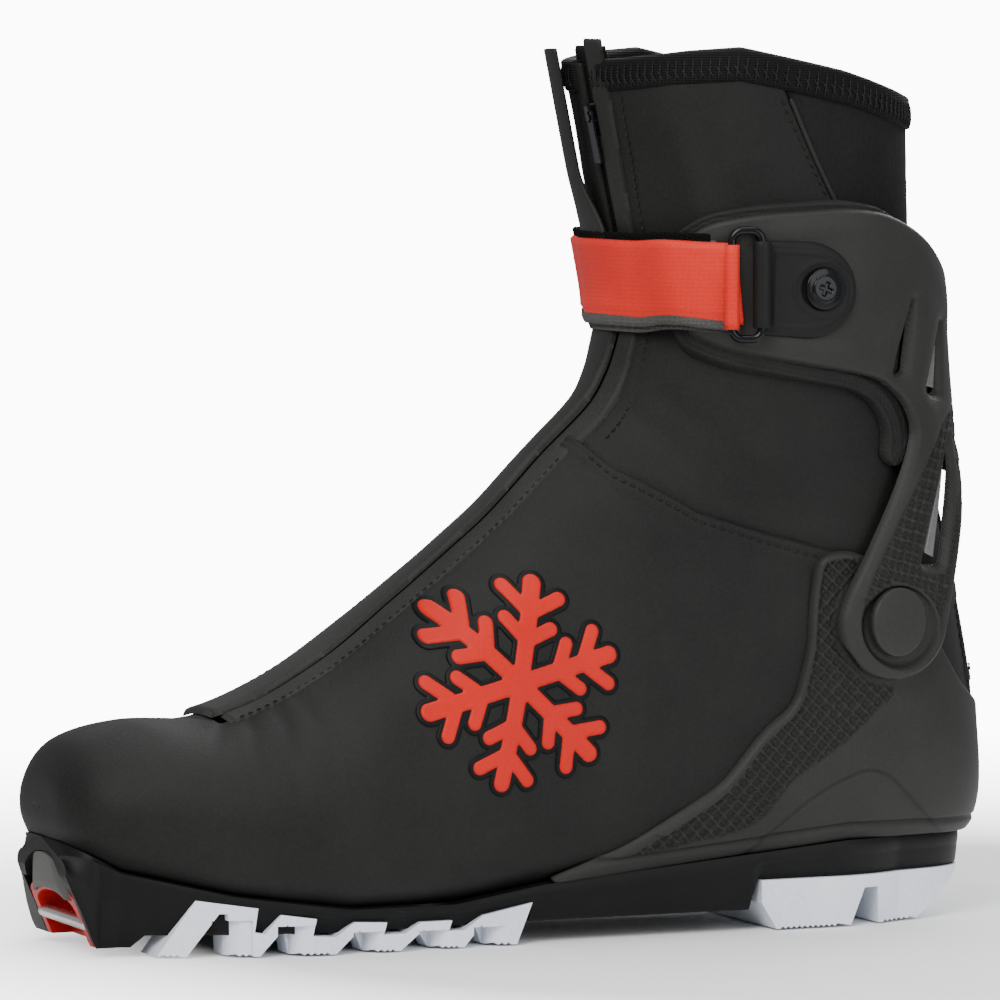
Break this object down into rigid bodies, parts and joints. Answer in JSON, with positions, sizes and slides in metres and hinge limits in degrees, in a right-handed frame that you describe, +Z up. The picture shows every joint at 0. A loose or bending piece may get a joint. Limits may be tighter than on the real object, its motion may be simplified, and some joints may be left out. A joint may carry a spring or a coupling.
{
  "type": "cross country ski boot",
  "caption": "Left cross country skate boot with pivoting cuff, power strap, zipped cover, heel shell and a lugged sole with a steel toe bar.",
  "frame": {"origin": "on the ground, under the middle of the flat of the heel tread", "axes": "+X towards the toe, +Y towards the outer side of the left foot, +Z up"},
  "size_m": [0.2992, 0.1045, 0.2652],
  "materials": {
    "sole_black": "matte",
    "tread_white": "satin",
    "red_plastic": "satin",
    "bumper_grey": "matte",
    "steel": "satin",
    "board": "matte",
    "shank_plastic": "matte",
    "footbed_fabric": "matte",
    "upper": "matte, coated",
    "stretch_fabric": "matte, ribbed",
    "lining": "matte",
    "lace": "matte",
    "webbing": "matte",
    "zip_black": "matte",
    "zip_flap": "satin, coated",
    "shell_grey": "satin",
    "cuff_grey": "satin, fine grain",
    "cap_grey": "satin",
    "emblem_red": "satin print",
    "binding_edge": "matte, overlocked",
    "pad_fabric": "matte",
    "reflector": "satin",
    "tab_rubber": "satin",
    "dark_metal": "gloss",
    "strap_black": "matte, brushed loop",
    "strap_red": "matte, coated"
  },
  "bodies": {
    "boot": {"outsole_carrier": "sole_black", "forefoot_lugs": "tread_white", "heel_lug": "tread_white", "toe_insert": "red_plastic", "toe_bumper": "bumper_grey", "toe_bar": "steel", "insole_board": "board", "shank": "shank_plastic", "footbed": "footbed_fabric", "vamp": "upper", "ankle_gusset": "upper", "toe_puff": "board", "heel_counter": "board", "foot_lining": "lining", "tongue": "lining", "lace_loops": "webbing", "speed_lace": "lace", "lace_lock": "shank_plastic", "zip_tape_foot": "zip_black", "zip_coil_foot": "zip_black", "zip_flap_foot": "zip_flap", "zip_welt_foot": "zip_flap", "heel_shell": "shell_grey", "pivot_rivets": "steel", "pivot_washers": "steel", "achilles_tab": "upper", "heel_pull": "webbing", "emblem": "emblem_red"},
    "cuff": {"collar_lateral": "upper", "collar_medial": "upper", "collar_rear": "stretch_fabric", "collar_binding": "binding_edge", "collar_lining": "lining", "zip_tape_shaft": "zip_black", "zip_coil_shaft": "zip_black", "zip_flap_shaft": "zip_flap", "zip_welt_shaft": "zip_flap", "cuff_shell": "cuff_grey", "cuff_pad": "pad_fabric", "reflective_inlays": "reflector", "pivot_caps": "cap_grey", "ring_tab": "tab_rubber", "cuff_screws": "dark_metal", "strap_base": "strap_black"},
    "ring": {"strap_ring": "dark_metal"},
    "strap": {"strap_tail": "strap_red"},
    "slider": {"zip_slider": "dark_metal"},
    "pull": {"zip_pull": "dark_metal"}
  },
  "joints": [
    {"name": "cuff_flex", "type": "hinge", "parent": "boot", "child": "cuff", "pos_m": [-0.005, 0, 0.092], "axis": [0, 1, 0], "range_deg": [-5, 15], "stiffness_Nm_per_rad": 4, "deforming": ["ankle_gusset"]},
    {"name": "ring_swing", "type": "hinge", "parent": "cuff", "child": "ring", "pos_m": [0.04164, 0.04969, 0.1935], "axis": [0, 0, 1], "range_deg": [0, 20]},
    {"name": "strap_open", "type": "hinge", "parent": "ring", "child": "strap", "pos_m": [0.05029, 0.0472, 0.1935], "axis": [0, 0, 1], "range_deg": [0, 75]},
    {"name": "zip_slide", "type": "slide", "parent": "cuff", "child": "slider", "axis": [0.1955, 0.0049, 0.9807], "range_m": [-0.027, 0.006]},
    {"name": "pull_swing", "type": "hinge", "parent": "slider", "child": "pull", "pos_m": [0.079, 0.00668, 0.24385], "axis": [0, -1, 0], "range_deg": [0, 60]}
  ]
}
